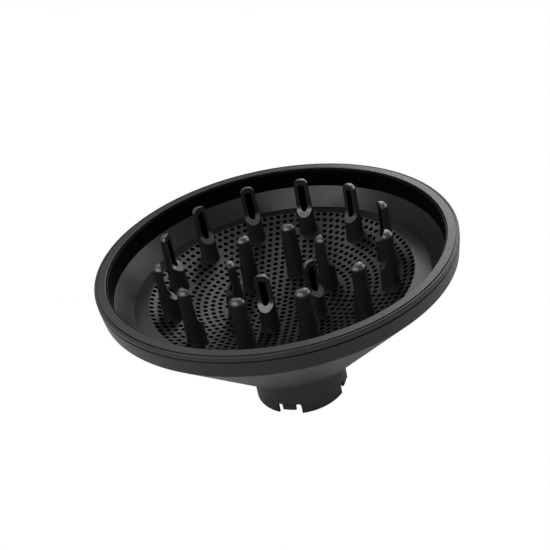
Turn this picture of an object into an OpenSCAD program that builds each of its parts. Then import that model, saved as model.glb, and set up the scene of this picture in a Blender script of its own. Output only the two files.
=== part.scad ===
// Hair-dryer diffuser: a funnel that pushes onto the nozzle of a dryer and
// spreads its air through a dished, perforated plate with hollow fingers.
// Millimetres. Z = 0 is the lower edge of the neck collar, +Z points out of
// the bowl, and the axis of the neck is X = Y = 0.

/* [Bowl] */
// outer radius of the funnel's band, the widest part
band_r = 85.4; // [84.8:0.1:86]
// height of the band's upper edge
band_top_z = 80.05; // [79.6:0.05:80.1]
// outer radius where the band turns into the cone
cone_top_r = 84.6; // [84.4:0.1:84.8]
// height where the band turns into the cone
cone_top_z = 72.8; // [72.6:0.1:73]
// outer radius of the cone carried down to the mouth's lower edge
cone_low_r = 30.8; // [30.6:0.1:31]
// height of the mouth's lower edge
cone_low_z = 21.5; // [21.3:0.1:21.7]
// wall thickness of the cone
shell_wall = 1.8; // [1.6:0.1:1.9]

/* [Rim] */
// height of the rim's top face
rim_top_z = 83.05; // [82.8:0.05:83.3]
// inner radius of the rim's top face
rim_in_r = 80; // [79.9:0.1:80.1]
// radius of the round bead outside the rim's top face
bead_r = 0.9; // [0.7:0.05:1]
// inner radius at the top of the dark wall under the rim
wall_top_r = 79.2; // [79:0.1:79.4]
// inner radius at the foot of the dark wall
wall_low_r = 78.5; // [78.3:0.1:78.7]

/* [Plate] */
// radius of the dish's spherical face
dish_r = 157.9; // [156:0.1:160]
// height of the dish's lowest point, at the centre
dish_z = 51.4; // [51.2:0.1:51.6]
// radius at which the dish ends and the plain margin begins
dish_edge_r = 64.1; // [64:0.1:64.2]
// thickness of the plate
plate_t = 1.8; // [1.6:0.1:1.8]
// number of rings of air holes round the central one
ring_count = 18; // [12:1:18]
// radial pitch of the rings of air holes
ring_pitch = 3.486; // [3.45:0.001:3.49]
// radius of an air hole
hole_r = 0.95; // [0.8:0.05:1]

/* [Prongs] */
// number of prongs in the outer ring
outer_count = 12; // [12:1:12]
// radius of the outer ring of prongs
outer_ring_r = 53.3; // [53:0.1:53.4]
// height of an outer prong's tip
outer_tip_z = 89.6; // [88:0.1:91]
// number of prongs in the inner ring
inner_count = 6; // [6:1:6]
// radius of the inner ring of prongs
inner_ring_r = 23.1; // [22.8:0.1:23.4]
// height of an inner prong's tip
inner_tip_z = 81.1; // [80:0.1:82]
// radius of a prong just below its rounded tip
prong_tip_r = 3.6; // [3.4:0.05:3.7]
// radius of a prong at its foot
prong_foot_r = 4.65; // [4.5:0.05:4.7]
// width of a prong's air slot, and of the bore that feeds it
slot_w = 3.6; // [3.2:0.1:3.8]
// length of the flat face cut in an outer prong, down from its tip
outer_face_len = 16.2; // [12:0.1:17]
// length of the flat face cut in an inner prong, down from its tip
inner_face_len = 14; // [11:0.1:15]

/* [Neck] */
// outer radius of the neck collar
collar_r = 23.3; // [23.2:0.1:23.6]
// radius of the socket that takes the dryer's nozzle
bore_r = 21.7; // [21.5:0.1:21.8]
// height of a snap tab's lower edge
tab_low_z = 2.4; // [2:0.1:2.6]
// height of the tops of the slots beside a tab
tab_slot_z = 6; // [5.8:0.1:6.4]
// angle that a tab covers, in degrees
tab_angle = 16.8; // [16:0.2:17.6]
// width of the slots beside a tab
tab_slot_w = 2.7; // [2.5:0.1:2.9]

/* [Hidden] */
$fn = 96;
eps = 0.01;
gap = 0.3;                 // clearance between moving and seated pieces
cone_slope = (cone_top_r - cone_low_r) / (cone_top_z - cone_low_z);
cone_a = atan(cone_slope); // angle between the cone and the axis
// inner radius of the cone at height z
function inner_r(z) = cone_low_r + (z - cone_low_z) * cone_slope - shell_wall / cos(cone_a);
// points on an arc in the (radius, height) plane
function arc(c, r, a0, a1, n) =
    [for (i = [0:n]) let (a = a0 + (a1 - a0) * i / n) c + r * [cos(a), sin(a)]];
// height of the dish's upper face at radius r
function dish_h(r) = dish_z + dish_r - sqrt(dish_r * dish_r - r * r);

band_in_r = 82.9;
band_foot_z = cone_low_z + (band_in_r - inner_r(cone_low_z)) / cone_slope;
lip_r = 1.5;               // rounding of the funnel's mouth
lip_c = [cone_low_r + (lip_r - lip_r * sin(cone_a)) * cone_slope - lip_r * cos(cone_a), cone_low_z + lip_r];
seat_z = cone_low_z + 2.9; // ledge that carries the collar's flange
ledge_r = 68.2;            // ledge that carries the plate
margin_z = 63.9;           // plate's upper face at its edge
margin_r = 72.2;
liner_low_r = 71.15;
liner_t = 1.2;
liner_top_z = 73.1;
wall_out_r = 81.2;
wall_top_z = 81.95;
skirt_in_r = 81.45;
skirt_out_r = 82.75;
skirt_low_z = 75;
seam = 0.55;               // height of the open line between the rim and the funnel's band
groove_r = 84.2;           // fine groove between the rim's top face and its bead
groove_half = 0.28;
groove_d = 0.6;
bead_z = 82.9;             // height of the bead's crown
flange_t = 1.8;
flange_r = 31;
stop_r = 20.3;
// the prong's rounded tip: distance below the top, then radius as a share of the prong's own
dome = [[2, 1], [1.6, 0.94], [1.2, 0.865], [0.85, 0.78],
        [0.55, 0.685], [0.3, 0.575], [0.13, 0.455], [0.03, 0.32]];
dome_top = 2.9;            // solid tip above a prong's bore
bore_round = 0.6;          // rounding at the top of the bore
face_x = 0.3;              // distance of a prong's flat face in front of its axis
ramp_k = 0.9;              // fall of the ramp below the flat face, per millimetre outwards
spigot_r = 3;              // hollow spigot under a prong, and its barb
barb_r = 3.25;
spigot_len = 4.4;
barb_h = 1;
peg_gap = 0.05;            // clearance between a spigot and its opening
outer_pad_r = 5.85;        // plain ground, clear of air holes' centres, round an outer prong's axis
inner_pad_r = 5.5;         // and round an inner one's

c_shell = [0.09, 0.09, 0.095];
c_trim = [0.16, 0.16, 0.165];
c_wall = [0.02, 0.02, 0.022];
c_plate = [0.12, 0.12, 0.125];
c_prong = [0.05, 0.05, 0.053];
c_collar = [0.08, 0.08, 0.085];

// Outer funnel: band, cone, rolled mouth, and ledges for the plate and collar.
module funnel_shell() color(c_shell) rotate_extrude($fn = 180)
    polygon(concat(
        [[band_in_r, band_top_z], [band_r, band_top_z], [cone_top_r, cone_top_z]],
        arc(lip_c, lip_r, -cone_a, -180, 10),
        [[lip_c[0] - lip_r, seat_z], [inner_r(seat_z), seat_z],
         [ledge_r, cone_low_z + (ledge_r - inner_r(cone_low_z)) / cone_slope],
         [ledge_r, margin_z - plate_t - eps],
         [inner_r(margin_z - plate_t - eps), margin_z - plate_t - eps],
         [band_in_r, band_foot_z]]));

// Rim: flat top face, fine groove, round bead and the skirt inside the band.
module trim_ring() color(c_trim) rotate_extrude($fn = 180)
    polygon(concat(
        [[skirt_in_r, skirt_low_z], [skirt_out_r - gap, skirt_low_z], [skirt_out_r, skirt_low_z + 1],
         [skirt_out_r, band_top_z + seam], [band_r, band_top_z + seam]],
        arc([band_r - bead_r, bead_z - bead_r], bead_r, 0, 90, 8),
        [[groove_r + groove_half, rim_top_z - groove_d], [groove_r - groove_half, rim_top_z - groove_d],
         [groove_r - groove_half, rim_top_z],
         [rim_in_r + 0.2, rim_top_z], [rim_in_r, rim_top_z - 0.2],
         [rim_in_r, wall_top_z], [skirt_in_r, wall_top_z]]));

// Dark upright wall under the rim.
module wall_ring() color(c_wall) rotate_extrude($fn = 180)
    polygon([[wall_low_r, liner_top_z], [wall_out_r, liner_top_z],
             [wall_out_r, wall_top_z], [wall_top_r, wall_top_z]]);

// Sloping liner between the dark wall and the plate; its foot holds the plate down.
module bowl_ring() color(c_shell) rotate_extrude($fn = 180)
    polygon([[liner_low_r, margin_z], [liner_low_r + liner_t, margin_z],
             [wall_low_r + liner_t - 1, liner_top_z - 1.6],
             [inner_r(liner_top_z - 1.6) - gap, liner_top_z - 1.6],
             [inner_r(liner_top_z) - gap, liner_top_z], [wall_low_r, liner_top_z]]);

// One air hole, square to the dish, at radius r and angle a.
module air_hole(r, a)
    translate([0, 0, dish_z + dish_r]) rotate([0, -asin(r / dish_r), a])
        translate([0, 0, -dish_r - plate_t - 1]) cylinder(r = hole_r, h = plate_t + 2, $fn = 24);

// True where an air hole at radius r and angle a would fall on the plain ground round a prong at
// ring_r, a0 and every step round.
function on_pad(r, a, ring_r, step, a0, pad_r) =
    let (d = (((a - a0) % step) + 1.5 * step) % step - step / 2)
    norm([r * cos(d) - ring_r, r * sin(d)]) < pad_r;

function holed(r, a) =
    !on_pad(r, a, outer_ring_r, 360 / outer_count, 0, outer_pad_r)
    && !on_pad(r, a, inner_ring_r, 360 / inner_count, 30, inner_pad_r);

// Round opening for a prong's spigot, at radius r.
module peg_hole(r)
    translate([r, 0, dish_h(r) - spigot_len]) cylinder(r = spigot_r + peg_gap, h = 2 * spigot_len, $fn = 40);

// Dished plate with a plain margin, rings of air holes and an opening under each prong.
module diffuser_plate() color(c_plate) difference() {
    union() {
        intersection() {
            difference() {
                translate([0, 0, dish_z + dish_r]) sphere(r = dish_r + plate_t, $fn = 180);
                translate([0, 0, dish_z + dish_r]) sphere(r = dish_r, $fn = 180);
            }
            cylinder(r = dish_edge_r, h = dish_h(dish_edge_r) + 1);
        }
        rotate_extrude($fn = 180)
            polygon([[dish_edge_r - 1, dish_h(dish_edge_r) - plate_t],
                     [margin_r - plate_t * cone_slope, margin_z - plate_t],
                     [margin_r, margin_z], [liner_low_r, margin_z], [dish_edge_r, dish_h(dish_edge_r)],
                     [dish_edge_r - 1, dish_h(dish_edge_r - 1) - 0.1]]);
    }
    air_hole(0, 0);
    for (k = [1:ring_count], i = [0:6 * k - 1])
        let (r = k * ring_pitch, a = (i + [0, -1 / 3, 1 / 3][k % 3]) * 60 / k)
            if (holed(r, a)) air_hole(r, a);
    for (i = [0:outer_count - 1]) rotate([0, 0, i * 360 / outer_count]) peg_hole(outer_ring_r);
    for (i = [0:inner_count - 1]) rotate([0, 0, 30 + i * 360 / inner_count]) peg_hole(inner_ring_r);
}

// Hollow prong at radius r with its tip at height tip_z: a tapered round tube whose upper part is
// cut away in front by a flat face and a ramp; side = -1 turns that face to the axis.
module prong(r, tip_z, side, face_len) {
    foot_z = dish_h(r);
    low_z = foot_z - spigot_len;
    face_z = tip_z - face_len;
    cut = 2 * prong_foot_r;
    color(c_prong) difference() {
        union() {
            intersection() {
                translate([r, 0, 0]) rotate_extrude($fn = 64)
                    polygon(concat([[0, foot_z - 2.5], [prong_foot_r, foot_z - 2.5]],
                        [for (s = dome) [prong_tip_r * s[1], tip_z - s[0]]], [[0, tip_z]]));
                translate([0, 0, dish_z + dish_r]) sphere(r = dish_r - 0.02, $fn = 180);
            }
            translate([r, 0, low_z]) cylinder(r = spigot_r, h = spigot_len + 1.5, $fn = 40);
            translate([r, 0, low_z]) cylinder(r = barb_r, h = barb_h, $fn = 40);
        }
        translate([r, 0, 0]) rotate_extrude($fn = 40)
            polygon([[0, low_z - 1], [slot_w / 2, low_z - 1], [slot_w / 2, tip_z - dome_top - bore_round],
                [slot_w / 2 - bore_round, tip_z - dome_top], [0, tip_z - dome_top]]);
        translate([r, 0, 0]) rotate([90, 0, 0]) linear_extrude(cut, center = true)
            polygon([[side * face_x, tip_z + 1], [side * face_x, face_z],
                [side * (face_x + cut), face_z - cut * ramp_k], [side * (face_x + cut), tip_z + 1]]);
    }
}

module prong_outer(i)
    rotate([0, 0, i * 360 / outer_count]) prong(outer_ring_r, outer_tip_z, -1, outer_face_len);
module prong_inner(i)
    rotate([0, 0, 30 + i * 360 / inner_count]) prong(inner_ring_r, inner_tip_z, 1, inner_face_len);

// Push-on collar: socket with a stop for the nozzle, flange, and four notches for the tabs.
module neck_collar() color(c_collar) difference() {
    rotate_extrude($fn = 120)
        polygon([[bore_r + 0.4, 0], [collar_r - 0.4, 0], [collar_r, 0.4],
                 [collar_r, seat_z], [flange_r, seat_z], [flange_r, seat_z + flange_t],
                 [stop_r, seat_z + flange_t], [stop_r, seat_z + flange_t - 1.4],
                 [bore_r, seat_z + flange_t - 1.4], [bore_r, 0.4]]);
    for (i = [0:3]) rotate([0, 0, i * 90]) {
        rotate([0, 0, -tab_angle / 2 - 1]) rotate_extrude(angle = tab_angle + 2, $fn = 120)
            translate([bore_r - 2, -1]) square([6, tab_slot_z + 1]);
        for (s = [-1, 1]) rotate([0, 0, s * (tab_angle / 2 + tab_slot_w / 2 / collar_r * 180 / PI)]) {
            translate([bore_r - 2, -tab_slot_w / 2, -1])
                cube([6, tab_slot_w, tab_slot_z + 1 - tab_slot_w / 2]);
            translate([bore_r - 2, 0, tab_slot_z - tab_slot_w / 2]) rotate([0, 90, 0])
                cylinder(d = tab_slot_w, h = 6, $fn = 32);
        }
    }
}

// Springy tongue that grips the nozzle, hinged at its upper edge.
module snap_tab(i) color(c_collar) rotate([0, 0, i * 90 - tab_angle / 2])
    rotate_extrude(angle = tab_angle, $fn = 120)
        polygon([[bore_r + 0.35, tab_low_z], [collar_r - 0.35, tab_low_z], [collar_r, tab_low_z + 0.35],
                 [collar_r, tab_slot_z - gap], [bore_r, tab_slot_z - gap], [bore_r, tab_low_z + 0.35]]);

funnel_shell();
trim_ring();
wall_ring();
bowl_ring();
diffuser_plate();
prong_outer(0);  // prong_outer_01
prong_outer(1);  // prong_outer_02
prong_outer(2);  // prong_outer_03
prong_outer(3);  // prong_outer_04
prong_outer(4);  // prong_outer_05
prong_outer(5);  // prong_outer_06
prong_outer(6);  // prong_outer_07
prong_outer(7);  // prong_outer_08
prong_outer(8);  // prong_outer_09
prong_outer(9);  // prong_outer_10
prong_outer(10);  // prong_outer_11
prong_outer(11);  // prong_outer_12
prong_inner(0);  // prong_inner_1
prong_inner(1);  // prong_inner_2
prong_inner(2);  // prong_inner_3
prong_inner(3);  // prong_inner_4
prong_inner(4);  // prong_inner_5
prong_inner(5);  // prong_inner_6
neck_collar();
snap_tab(0);  // snap_tab_1
snap_tab(1);  // snap_tab_2
snap_tab(2);  // snap_tab_3
snap_tab(3);  // snap_tab_4
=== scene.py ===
import math

import bpy
import bmesh
from mathutils import Matrix, Vector, geometry


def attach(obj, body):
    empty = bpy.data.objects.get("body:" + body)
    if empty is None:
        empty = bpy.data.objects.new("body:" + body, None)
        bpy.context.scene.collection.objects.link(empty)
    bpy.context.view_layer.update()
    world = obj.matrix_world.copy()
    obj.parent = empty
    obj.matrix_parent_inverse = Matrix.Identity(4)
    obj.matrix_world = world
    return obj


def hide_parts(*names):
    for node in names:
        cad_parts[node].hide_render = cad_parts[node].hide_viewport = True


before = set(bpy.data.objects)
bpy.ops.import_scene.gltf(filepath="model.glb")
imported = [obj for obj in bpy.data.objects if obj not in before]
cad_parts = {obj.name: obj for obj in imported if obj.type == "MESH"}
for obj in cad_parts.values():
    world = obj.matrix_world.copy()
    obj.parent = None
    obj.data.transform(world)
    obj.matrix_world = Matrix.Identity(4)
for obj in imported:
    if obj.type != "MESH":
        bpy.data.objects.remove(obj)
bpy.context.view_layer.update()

MM = 0.001
CLOUD_SCALE, WEAR_SCALE, GRAIN_SCALE = 45.0, 900.0, 2600.0
scene = bpy.context.scene


# ---------------------------------------------------------------- materials
def plastic(name, color, rough, rough_var=0.05, grain=0.00003, tint=0.2, specular=0.5,
            ior=1.5, painted_bore_shade=False):
    """Moulded black plastic: fine grain, faint flow mottling and uneven gloss from handling; the bore
    option paints shade on steep faces.
    """
    m = bpy.data.materials.new(name)
    m.use_nodes = True
    nt = m.node_tree
    bsdf = nt.nodes["Principled BSDF"]
    bsdf.inputs["IOR"].default_value = ior
    bsdf.inputs["Specular IOR Level"].default_value = specular
    coord = nt.nodes.new("ShaderNodeTexCoord")

    def noise(scale, detail, octave_gain=0.5):
        n = nt.nodes.new("ShaderNodeTexNoise")
        n.inputs["Scale"].default_value = scale
        n.inputs["Detail"].default_value = detail
        n.inputs["Roughness"].default_value = octave_gain
        nt.links.new(coord.outputs["Object"], n.inputs["Vector"])
        return n

    def spread(src, lo, hi, a, b):
        r = nt.nodes.new("ShaderNodeMapRange")
        r.inputs["From Min"].default_value = lo
        r.inputs["From Max"].default_value = hi
        r.inputs["To Min"].default_value = a
        r.inputs["To Max"].default_value = b
        nt.links.new(src, r.inputs["Value"])
        return r

    cloud = noise(CLOUD_SCALE, 3.0)
    fine = noise(WEAR_SCALE, 2.0)
    mix = nt.nodes.new("ShaderNodeMix")
    mix.data_type = "RGBA"
    mix.inputs[6].default_value = (*[c * (1 - tint) for c in color], 1)
    mix.inputs[7].default_value = (*[c * (1 + tint) for c in color], 1)
    blend = spread(cloud.outputs["Fac"], 0.35, 0.65, 0.0, 1.0)
    nt.links.new(blend.outputs["Result"], mix.inputs[0])
    nt.links.new(mix.outputs[2], bsdf.inputs["Base Color"])
    r = spread(fine.outputs["Fac"], 0.3, 0.7, rough - rough_var, rough + rough_var)
    nt.links.new(r.outputs["Result"], bsdf.inputs["Roughness"])
    g = noise(GRAIN_SCALE, 2.0, 0.6)
    bump = nt.nodes.new("ShaderNodeBump")
    bump.inputs["Strength"].default_value = 1.0
    bump.inputs["Distance"].default_value = grain
    nt.links.new(g.outputs["Fac"], bump.inputs["Height"])
    nt.links.new(bump.outputs["Normal"], bsdf.inputs["Normal"])
    if painted_bore_shade:
        # painted shade: the bores of the air holes stand square to the plate's faces, and faces that lean
        # towards upright are coloured near black and lose their specular reflection
        split = nt.nodes.new("ShaderNodeSeparateXYZ")
        nt.links.new(coord.outputs["Normal"], split.inputs["Vector"])
        side = nt.nodes.new("ShaderNodeMath")
        side.operation = "ABSOLUTE"
        nt.links.new(split.outputs["Z"], side.inputs[0])
        shade = spread(side.outputs["Value"], 0.5, 0.8, 0.0, specular)
        nt.links.new(shade.outputs["Result"], bsdf.inputs["Specular IOR Level"])
        painted_shade_mix = nt.nodes.new("ShaderNodeMix")
        painted_shade_mix.data_type = "RGBA"
        painted_shade_mix.inputs[6].default_value = (0.0005, 0.0005, 0.0005, 1)
        face = spread(side.outputs["Value"], 0.5, 0.8, 0.0, 1.0)
        nt.links.new(face.outputs["Result"], painted_shade_mix.inputs[0])
        nt.links.new(mix.outputs[2], painted_shade_mix.inputs[7])
        nt.links.new(painted_shade_mix.outputs[2], bsdf.inputs["Base Color"])
    return m


shell_black = plastic("shell_black", (0.012, 0.012, 0.0125), 0.33)
rim_black = plastic("rim_black", (0.014, 0.014, 0.0145), 0.36, specular=0.6)
liner_black = plastic("liner_black", (0.012, 0.012, 0.0125), 0.36)
# the plate's bores get painted shade: near black and without specular reflection
plate_black = plastic("plate_black", (0.012, 0.012, 0.0125), 0.34, 0.03, 0.00001, painted_bore_shade=True)
collar_black = plastic("collar_black", (0.014, 0.014, 0.0145), 0.34, specular=0.85)
prong_black = plastic("prong_black", (0.019, 0.019, 0.0195), 0.36, 0.02, 0.000004, tint=0.08)
prong_polish = plastic("prong_polish", (0.016, 0.016, 0.0165), 0.38, 0.02, 0.000003,
                       specular=0.75, ior=1.8)
# painted shade: the bores and slot backs of the prongs are coloured near black and barely glossy
bore_painted_shade = plastic("bore_painted_shade", (0.001, 0.001, 0.001), 0.6, specular=0.05)
# painted shade: the inner wall is a near-black, barely glossy copy of the plastic
wall_painted_shade = plastic("wall_painted_shade", (0.0015, 0.0015, 0.0016), 0.42, specular=0.08)

SLOT = {"shell": shell_black, "trim": rim_black, "wall": wall_painted_shade, "liner": liner_black,
        "plate": plate_black, "prong": prong_black, "collar": collar_black}

for name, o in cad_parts.items():
    mat = collar_black
    if name.startswith("prong"):
        mat = prong_black
    if name == "diffuser_plate":
        mat = plate_black
    o.data.materials.clear()
    o.data.materials.append(mat)


# ---------------------------------------------------------------- mesh helpers
BORE, POLISH = 1, 2


def add_piece(name, bm, slot, body, nodes):
    """Turns a bmesh in millimetres into a smooth-shaded piece that stands for its CAD nodes."""
    bmesh.ops.recalc_face_normals(bm, faces=bm.faces)
    mesh = bpy.data.meshes.new(name)
    bm.to_mesh(mesh)
    bm.free()
    mesh.transform(Matrix.Scale(MM, 4))
    mesh.shade_smooth()
    mesh.set_sharp_from_angle(angle=math.radians(40))
    mesh.materials.append(SLOT[slot])
    if slot == "prong":
        # the prong's bores take the painted-shade material
        mesh.materials.append(bore_painted_shade)     # material_index BORE
        mesh.materials.append(prong_polish)   # material_index POLISH
    o = bpy.data.objects.new(name, mesh)
    scene.collection.objects.link(o)
    weights = o.modifiers.new("weighted", "WEIGHTED_NORMAL")
    weights.keep_sharp = True
    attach(o, body)
    if nodes:
        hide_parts(*nodes)
    return o


def rounded(points, steps=4):
    """Outline of (radius, height, fillet) corners, with an arc at each corner that has a fillet."""
    out = []
    for i, (r, z, fillet) in enumerate(points):
        p = Vector((r, z))
        if fillet <= 0:
            out.append(p)
            continue
        a = Vector(points[i - 1][:2]) - p
        b = Vector(points[(i + 1) % len(points)][:2]) - p
        u, v = a.normalized(), b.normalized()
        half = u.angle(v) / 2
        reach = min(fillet / math.tan(half), 0.48 * a.length, 0.48 * b.length)
        fillet = reach * math.tan(half)
        centre = p + (u + v).normalized() * (fillet / math.sin(half))
        first, last = p + u * reach - centre, p + v * reach - centre
        turn = first.angle_signed(last)
        for k in range(steps + 1):
            c, s = math.cos(-turn * k / steps), math.sin(-turn * k / steps)
            out.append(centre + Vector((first.x * c - first.y * s, first.x * s + first.y * c)))
    return out


def lathe(outline, segments):
    """Closed outline in the (radius, height) plane turned about the axis."""
    bm = bmesh.new()
    rings = []
    for j in range(segments):
        a = 2 * math.pi * j / segments
        rings.append([bm.verts.new((p.x * math.cos(a), p.x * math.sin(a), p.y)) for p in outline])
    for j in range(segments):
        p, q = rings[j], rings[(j + 1) % segments]
        for i in range(len(outline)):
            k = (i + 1) % len(outline)
            bm.faces.new((p[i], q[i], q[k], p[k]))
    return bm


# ---------------------------------------------------------------- dimensions, millimetres
BAND_R, BAND_TOP = 85.4, 80.05
CONE_TOP, CONE_LOW = (84.6, 72.8), (30.8, 21.5)
SLOPE = (CONE_TOP[0] - CONE_LOW[0]) / (CONE_TOP[1] - CONE_LOW[1])
WALL = 1.8
CONE_A = math.atan(SLOPE)
BAND_IN, LEDGE_R = 82.9, 68.2
RIM_TOP, RIM_IN, RIM_FOOT = 83.05, 80.0, 75
SKIRT_IN, SKIRT_OUT = 81.45, 82.75
WALL_LOW_R, WALL_TOP_R, WALL_OUT_R, WALL_TOP = 78.5, 79.2, 81.2, 81.95
LINER_TOP, LINER_LOW_R, LINER_T = 73.1, 71.15, 1.2
MARGIN_Z, MARGIN_R, PLATE_T, FIT = 63.9, 72.2, 1.8, 0.01
GAP = 0.3
DISH_R, DISH_Z, DISH_EDGE_R = 157.9, 51.4, 64.1
SEGMENTS = 384


def inner_r(z):
    return CONE_LOW[0] + (z - CONE_LOW[1]) * SLOPE - WALL / math.cos(CONE_A)


def inner_z(r):
    return CONE_LOW[1] + (r - inner_r(CONE_LOW[1])) / SLOPE


def dish_h(r):
    return DISH_Z + DISH_R - math.sqrt(DISH_R ** 2 - r ** 2)


# ---------------------------------------------------------------- rings of the bowl
lip_r = 1.5
lip = Vector((CONE_LOW[0] + (lip_r - lip_r * math.sin(CONE_A)) * SLOPE - lip_r * math.cos(CONE_A),
              CONE_LOW[1] + lip_r))
mouth = [(lip.x + lip_r * math.cos(a), lip.y + lip_r * math.sin(a), 0)
         for a in [-CONE_A - (math.pi - CONE_A) * k / 14 for k in range(15)]]
seat = CONE_LOW[1] + 2.9
ledge = MARGIN_Z - PLATE_T - FIT
shell = rounded([(BAND_IN, BAND_TOP, 0.15), (BAND_R, BAND_TOP, 0.25), (*CONE_TOP, 0.6)] + mouth
                + [(lip.x - lip_r, seat, 0), (inner_r(seat), seat, 0), (LEDGE_R, inner_z(LEDGE_R), 0),
                   (LEDGE_R, ledge, 0), (inner_r(ledge), ledge, 0), (BAND_IN, inner_z(BAND_IN), 0)])
add_piece("funnel", lathe(shell, SEGMENTS), "shell", "diffuser", ["funnel_shell"])

seam, bead, bead_top = 0.55, 0.9, 82.9
groove, groove_half, groove_deep = 84.2, 0.28, 0.6
trim = rounded([(SKIRT_IN, RIM_FOOT, 0), (SKIRT_OUT - GAP, RIM_FOOT, 0), (SKIRT_OUT, RIM_FOOT + 1, 0),
                (SKIRT_OUT, BAND_TOP + seam, 0), (BAND_R, BAND_TOP + seam, 0.2), (BAND_R, bead_top, bead),
                (groove + groove_half, bead_top, 0.12), (groove + groove_half, RIM_TOP - groove_deep, 0),
                (groove - groove_half, RIM_TOP - groove_deep, 0), (groove - groove_half, RIM_TOP, 0.15),
                (RIM_IN, RIM_TOP, 0.4), (RIM_IN, WALL_TOP, 0.1), (SKIRT_IN, WALL_TOP, 0)], 6)
add_piece("rim", lathe(trim, SEGMENTS), "trim", "diffuser", ["trim_ring"])

# the inner wall of the bowl, darkened by its painted-shade material
wall = rounded([(WALL_LOW_R, LINER_TOP, 0), (WALL_OUT_R, LINER_TOP, 0),
                (WALL_OUT_R, WALL_TOP, 0), (WALL_TOP_R, WALL_TOP, 0.3)])
add_piece("dark_wall", lathe(wall, SEGMENTS), "wall", "diffuser", ["wall_ring"])

lip_low = LINER_TOP - 1.6
liner = rounded([(LINER_LOW_R, MARGIN_Z, 0.1), (LINER_LOW_R + LINER_T, MARGIN_Z, 0),
                 (WALL_LOW_R + LINER_T - 1, lip_low, 0), (inner_r(lip_low) - GAP, lip_low, 0),
                 (inner_r(LINER_TOP) - GAP, LINER_TOP, 0), (WALL_LOW_R, LINER_TOP, 0.35)])
add_piece("liner", lathe(liner, SEGMENTS), "liner", "diffuser", ["bowl_ring"])


# ---------------------------------------------------------------- prongs
TIP_R, FOOT_R, BORE_R, SPIGOT_R, BARB_R, SPIGOT_LEN = 3.6, 4.65, 1.8, 3.0, 3.25, 4.4
BARB_H, SUNK, RAMP_STEPS = 1, 0.3, 16
FACE_X, RAMP, RAMP_BLEND, EDGE_R = 0.3, 0.9, 1.6, 0.16
DOME_H, SOLID_TOP, BORE_DOME = 2.0, 2.9, 0.85
# rounded tip: distance below the top, then radius as a share of the prong's own
DOME = [(2.0, 1.0), (1.8, 0.972), (1.6, 0.94), (1.4, 0.905), (1.2, 0.865), (1.0, 0.82), (0.85, 0.78),
        (0.7, 0.735), (0.55, 0.685), (0.42, 0.635), (0.3, 0.575), (0.2, 0.515), (0.13, 0.455),
        (0.07, 0.39), (0.03, 0.32), (0.0, 0.2)]
# points along half the flat face, round its corner, round the back and round the bore
CHORD, CORNER, AROUND, INSIDE = 5, 4, 44, 28
WHOLE = 99.0               # a cut so far out that it takes nothing off


def outer_ring(radius, cut):
    """Outline of a prong's cross-section: a circle with everything in front of x = cut taken off."""
    cut = min(cut, radius)
    corner = min(EDGE_R, radius / 4)
    half = math.sqrt(max(0.0, (radius - corner) ** 2 - (cut - corner) ** 2))
    turn = math.atan2(half, cut - corner)
    line = [Vector((cut - corner + corner * math.cos(a), half + corner * math.sin(a)))
            for a in [turn * k / CORNER for k in range(CORNER + 1)]]
    arc = [turn + (2 * math.pi - 2 * turn) * k / AROUND for k in range(1, AROUND)]
    back = [Vector((radius * math.cos(a), radius * math.sin(a))) for a in arc]
    return half, line + back + [Vector((p.x, -p.y)) for p in reversed(line)]


def prong_slice(radius, cut, bore):
    """Outer outline from the slot's right edge round to its left, and the bore's outline."""
    half, ring = outer_ring(radius, cut)
    cut = min(cut, radius)
    slot = math.sqrt(bore ** 2 - cut ** 2) if bore > cut else 0.0
    slot = min(slot, half)
    front = [Vector((cut, slot + (half - slot) * k / CHORD)) for k in range(CHORD)]
    ring = front + ring + [Vector((p.x, -p.y)) for p in reversed(front)]
    if bore <= 0:
        return ring, None
    start = math.acos(cut / bore) if bore > cut else 0.0
    inside = [Vector((bore * math.cos(a), bore * math.sin(a)))
              for a in [start + (2 * math.pi - 2 * start) * k / INSIDE for k in range(INSIDE + 1)]]
    return ring, inside


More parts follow.
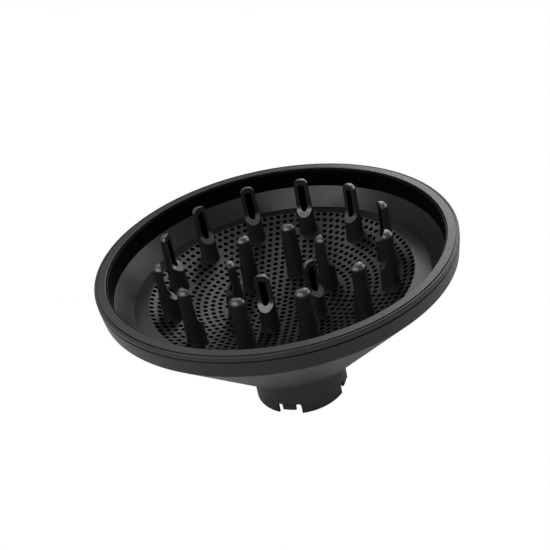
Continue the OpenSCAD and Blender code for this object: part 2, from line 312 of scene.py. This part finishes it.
def prong_bmesh(r, tip, side, face_len):
    """Round tapered tube with a flat face, a ramp and a domed tip; +X is the side of the slot."""
    foot = dish_h(r)
    low = foot - SPIGOT_LEN
    face_z = tip - face_len
    bore_top = tip - SOLID_TOP
    taper = (FOOT_R - TIP_R) / (tip - DOME_H - foot + 2.5)

    def radius(z):
        if z < tip - DOME_H:
            return FOOT_R - (z - foot + 2.5) * taper
        h = tip - z
        for (h0, s0), (h1, s1) in zip(DOME, DOME[1:]):
            if h0 >= h >= h1:
                return TIP_R * (s0 + (s1 - s0) * (h0 - h) / (h0 - h1))
        return TIP_R * DOME[-1][1]

    def cut(z):
        """Flat face, then a soft bend into the ramp."""
        drop = face_z - z
        if drop <= -RAMP_BLEND:
            return FACE_X
        if drop < RAMP_BLEND:
            return FACE_X + (drop + RAMP_BLEND) ** 2 / (4 * RAMP_BLEND * RAMP)
        return FACE_X + drop / RAMP

    def bore(z):
        rise = (z - (bore_top - BORE_DOME)) / BORE_DOME
        if rise <= 0:
            return BORE_R
        return BORE_R * math.sqrt(1 - rise * rise) if rise < 1 else 0.0

    def level(lo, hi, test):
        for _ in range(50):
            mid = (lo + hi) / 2
            lo, hi = (mid, hi) if test(mid) else (lo, mid)
        return lo

    leave = level(low, face_z, lambda z: cut(z) > radius(z))
    meet = level(leave, face_z, lambda z: cut(z) > BORE_R)
    close = level(bore_top - BORE_DOME, bore_top, lambda z: bore(z) > FACE_X)
    last = face_z + RAMP_BLEND

    # each slice: height, radius, cut, and how far it follows the dish
    slices = [(low, BARB_R, WHOLE, 0), (low + BARB_H, BARB_R, WHOLE, 0), (low + BARB_H, SPIGOT_R, WHOLE, 0),
              (foot - SUNK, SPIGOT_R, WHOLE, 1), (foot - SUNK, FOOT_R + 0.35, WHOLE, 1)]
    for h in (0.0, 0.15, 0.35, 0.6, 0.95, 1.4, 2.0, 2.8, 4.0, 6.0):
        if foot + h < leave - 0.3:
            flare = 0.32 * math.exp(-h / 0.9)
            slices.append((foot + h, radius(foot + h) + flare, WHOLE, max(0.0, 1 - h / 6)))
    heights = [leave]
    for k in range(1, RAMP_STEPS + 1):
        target = math.cos(math.pi / 2 * k / RAMP_STEPS)
        heights.append(level(leave, last, lambda z: cut(z) > radius(z) * target))
    heights = [z for z in heights if abs(z - meet) > 0.04] + [meet]
    heights += [last + (bore_top - BORE_DOME - last) * k / 8 for k in range(9)]
    heights += [close + (bore_top - BORE_DOME - close) * c for c in (0.8, 0.6, 0.45, 0.3, 0.18, 0.08, 0.0)]
    heights += [tip - h for h, _ in DOME]
    for z in sorted(set(round(z, 5) for z in heights)):
        x = cut(z)
        if z > last:
            x = min(x, max(FACE_X - max(0.0, z - tip + 0.2), 0.1))
        slices.append((z, radius(z), x, 0))

    bm = bmesh.new()

    def place(points, z, follow):
        """follow = 1 lays the outline on the dish, 0 leaves it level."""
        return [bm.verts.new((p.x, p.y, z + follow * (dish_h(math.hypot(r + side * p.x, p.y)) - foot)))
                for p in points]

    rows = []
    for z, rad, x, follow in slices:
        ring, inside = prong_slice(rad, x, bore(z) if z <= close + 1e-4 else 0.0)
        rows.append((place(ring, z, follow), place(inside, z, follow) if inside else None))
    for (a, a_in), (b, b_in), (z, *_) in zip(rows, rows[1:], slices):
        for k in range(len(a) - 1):
            flat = k < CHORD or k >= len(a) - 1 - CHORD
            face = bm.faces.new((a[k], a[k + 1], b[k + 1], b[k]))
            face.material_index = POLISH if flat or z > tip - DOME_H else 0
        # the bore's faces get the painted-shade material
        if a_in and b_in:
            for k in range(len(a_in) - 1):
                bm.faces.new((a_in[k], a_in[k + 1], b_in[k + 1], b_in[k])).material_index = BORE
        elif a_in:
            bm.faces.new(a_in).material_index = BORE
    bm.faces.new(rows[-1][0]).material_index = POLISH
    bmesh.ops.remove_doubles(bm, verts=bm.verts, dist=0.002)
    bmesh.ops.dissolve_degenerate(bm, edges=bm.edges, dist=0.001)
    rim = [e for e in bm.edges if e.is_boundary and abs(e.verts[0].co.z - low) < 0.001]
    bmesh.ops.bridge_loops(bm, edges=rim)
    return bm


# each prong: angle, ring radius, tip height, side its slot faces, length of its flat face
TURN = {}
for i in range(12):
    TURN[f"prong_outer_{i + 1:02d}"] = (30 * i, 53.3, 89.6, -1, 16.2)
for i in range(6):
    TURN[f"prong_inner_{i + 1}"] = (30 + 60 * i, 23.1, 81.1, 1, 14.0)
for node, (angle, r, tip, side, face_len) in TURN.items():
    bm = prong_bmesh(r, tip, side, face_len)
    bm.transform(Matrix.Rotation(math.radians(angle), 4, "Z") @ Matrix.Translation((r, 0, 0))
                 @ Matrix.Rotation(0 if side > 0 else math.pi, 4, "Z"))
    add_piece(node.replace("prong", "finger"), bm, "prong", "diffuser", [node])

# ---------------------------------------------------------------- perforated plate
HOLE_R, RING_PITCH, RINGS, HOLE_SIDES = 1.2, 3.486, 18, 16
OPENING_R, OPENING_SIDES, EDGE_SIDES = 3.05, 32, 192
STAGGER = (0.0, -1 / 3, 1 / 3)
PLAIN_GROUND = {-1: 5.85, 1: 5.5}   # radius clear of air holes round an outer and an inner prong


def hole_loop(r, a, radius, sides):
    """Plan of a round hole square to the dish, centred at radius r and angle a."""
    tilt = math.asin(r / DISH_R)
    depth = math.sqrt(DISH_R ** 2 - radius ** 2)
    loop = []
    for k in range(sides):
        t = 2 * math.pi * k / sides
        u = depth * math.sin(tilt) + radius * math.cos(t) * math.cos(tilt)
        v = radius * math.sin(t)
        loop.append(Vector((u * math.cos(a) - v * math.sin(a), u * math.sin(a) + v * math.cos(a))))
    return loop


def plate_bmesh():
    """Dished plate with its air holes, the openings for the prongs and a plain margin."""
    feet = [(r * math.cos(math.radians(angle)), r * math.sin(math.radians(angle)), PLAIN_GROUND[side])
            for angle, r, _, side, _ in TURN.values()]
    loops = [hole_loop(0, 0, HOLE_R, HOLE_SIDES)]
    for k in range(1, RINGS + 1):
        for i in range(6 * k):
            r, a = k * RING_PITCH, math.radians((i + STAGGER[k % 3]) * 60 / k)
            px, py = r * math.cos(a), r * math.sin(a)
            if all(math.hypot(px - x, py - y) >= ground for x, y, ground in feet):
                loops.append(hole_loop(r, a, HOLE_R, HOLE_SIDES))
    around = [2 * math.pi * k / OPENING_SIDES for k in range(OPENING_SIDES)]
    for x, y, _ in feet:
        loops.append([Vector((x + OPENING_R * math.cos(t), y + OPENING_R * math.sin(t))) for t in around])
    ring = [2 * math.pi * k / EDGE_SIDES for k in range(EDGE_SIDES)]
    loops.append([Vector((DISH_EDGE_R * math.cos(t), DISH_EDGE_R * math.sin(t))) for t in ring])
    points, edges, owner = [], [], []
    for n, loop in enumerate(loops):
        first = len(points)
        points += loop
        owner += [n] * len(loop)
        edges += [(first + k, first + (k + 1) % len(loop)) for k in range(len(loop))]
    plan, _, faces, origin, _, _ = geometry.delaunay_2d_cdt(points, edges, [], 0, 1e-6)

    bm = bmesh.new()
    centre = Vector((0, 0, DISH_Z + DISH_R))
    top, bottom, at = [], [], {}
    for n, p in enumerate(plan):
        v = Vector((p.x, p.y, dish_h(p.length)))
        top.append(bm.verts.new(v))
        bottom.append(bm.verts.new(centre + (v - centre) * (DISH_R + PLATE_T) / DISH_R))
        for k in origin[n]:
            at[k] = n
    rim_loop = len(loops) - 1
    for a, b, c in faces:
        home = {owner[origin[a][0]], owner[origin[b][0]], owner[origin[c][0]]}
        if len(home) == 1 and rim_loop not in home:
            continue   # inside a hole
        bm.faces.new((top[a], top[b], top[c]))
        bm.faces.new((bottom[c], bottom[b], bottom[a]))
    first = 0
    for loop in loops[:-1]:
        ids = [at[first + k] for k in range(len(loop))]
        for a, b in zip(ids, ids[1:] + ids[:1]):
            bm.faces.new((top[a], bottom[a], bottom[b], top[b]))
        first += len(loop)
    outer = [at[first + k] for k in range(EDGE_SIDES)]
    rows = [[top[n] for n in outer]]
    low = MARGIN_R - PLATE_T * SLOPE
    for r, z in ((LINER_LOW_R, MARGIN_Z), (MARGIN_R, MARGIN_Z), (low, MARGIN_Z - PLATE_T)):
        rows.append([bm.verts.new((r * math.cos(t), r * math.sin(t), z)) for t in ring])
    rows.append([bottom[n] for n in outer])
    for p, q in zip(rows, rows[1:]):
        for k in range(EDGE_SIDES):
            j = (k + 1) % EDGE_SIDES
            bm.faces.new((p[k], q[k], q[j], p[j]))
    return bm


add_piece("plate", plate_bmesh(), "plate", "diffuser", ["diffuser_plate"])

# ---------------------------------------------------------------- floor, room and lights
floor_mesh = bpy.data.meshes.new("floor")
floor_mesh.from_pydata([(-3, -3, 0), (3, -3, 0), (3, 3, 0), (-3, 3, 0)], [], [(0, 1, 2, 3)])
floor = bpy.data.objects.new("floor", floor_mesh)
floor.location.z = -0.2 * MM
scene.collection.objects.link(floor)
fm = bpy.data.materials.new("pale_floor")
fm.use_nodes = True
nt = fm.node_tree
nt.nodes.clear()
out = nt.nodes.new("ShaderNodeOutputMaterial")
diffuse = nt.nodes.new("ShaderNodeBsdfDiffuse")
diffuse.inputs["Color"].default_value = (0.8, 0.8, 0.8, 1)
white = nt.nodes.new("ShaderNodeEmission")
white.inputs["Strength"].default_value = 1.0
clear = nt.nodes.new("ShaderNodeBsdfTransparent")
path = nt.nodes.new("ShaderNodeLightPath")
geo = nt.nodes.new("ShaderNodeNewGeometry")
backdrop = nt.nodes.new("ShaderNodeMixShader")   # the camera sees plain white, the light a pale floor
one_way = nt.nodes.new("ShaderNodeMixShader")    # from underneath the floor is clear
nt.links.new(path.outputs["Is Camera Ray"], backdrop.inputs[0])
nt.links.new(diffuse.outputs[0], backdrop.inputs[1])
nt.links.new(white.outputs[0], backdrop.inputs[2])
nt.links.new(geo.outputs["Backfacing"], one_way.inputs[0])
nt.links.new(backdrop.outputs[0], one_way.inputs[1])
nt.links.new(clear.outputs[0], one_way.inputs[2])
nt.links.new(one_way.outputs[0], out.inputs["Surface"])
floor_mesh.materials.append(fm)

world = bpy.data.worlds.new("studio")
scene.world = world
world.use_nodes = True
wt = world.node_tree
bg = wt.nodes["Background"]
wout = wt.nodes["World Output"]
bg.inputs["Color"].default_value = (1, 1, 1, 1)
bg.inputs["Strength"].default_value = 0.23
seen = wt.nodes.new("ShaderNodeBackground")
seen.inputs["Color"].default_value = (1, 1, 1, 1)
seen.inputs["Strength"].default_value = 1.0
wpath = wt.nodes.new("ShaderNodeLightPath")
wmix = wt.nodes.new("ShaderNodeMixShader")
wt.links.new(wpath.outputs["Is Camera Ray"], wmix.inputs[0])
wt.links.new(bg.outputs[0], wmix.inputs[1])
wt.links.new(seen.outputs[0], wmix.inputs[2])
wt.links.new(wmix.outputs[0], wout.inputs["Surface"])


BOX_SIZE, BOX_AWAY = 0.55, 1.2


def softbox(name, azimuth, elevation, power):
    """Square soft light aimed at the bowl; angles in degrees, power in watts."""
    a, e = math.radians(azimuth), math.radians(elevation)
    out_of_bowl = Vector((math.cos(a) * math.cos(e), math.sin(a) * math.cos(e), math.sin(e)))
    data = bpy.data.lights.new(name, "AREA")
    data.shape = "SQUARE"
    data.size = BOX_SIZE
    data.energy = power
    o = bpy.data.objects.new(name, data)
    o.location = Vector((0, 0, 0.06)) + out_of_bowl * BOX_AWAY
    o.rotation_euler = (-out_of_bowl).to_track_quat("-Z", "Y").to_euler()
    o.visible_camera = False
    scene.collection.objects.link(o)


softbox("back_low", 90, 18, 2.8)
softbox("back_high", 90, 45, 1.6)
softbox("back_left", 135, 45, 1.0)
softbox("back_right", 45, 18, 2.7)
softbox("front_left", 225, 45, 2.9)
softbox("front", 270, 45, 2.3)

scene.view_settings.view_transform = "Standard"

cam_data = bpy.data.cameras.new("camera")
cam = bpy.data.objects.new("camera", cam_data)
scene.collection.objects.link(cam)
cam_data.lens = 60.99
cam_data.sensor_width = 36.0
cam_data.clip_start = 0.01
cam_data.clip_end = 50.0
right = Vector((0.94650, 0.26914, -0.17803))
up = Vector((0.00308, 0.54413, 0.83902))
back = Vector((0.32268, -0.79468, 0.5142))
pose = Matrix((right, up, back)).transposed().to_4x4()
pose.translation = Vector((0.14090, -0.35264, 0.29469))
cam.matrix_world = pose
scene.camera = cam
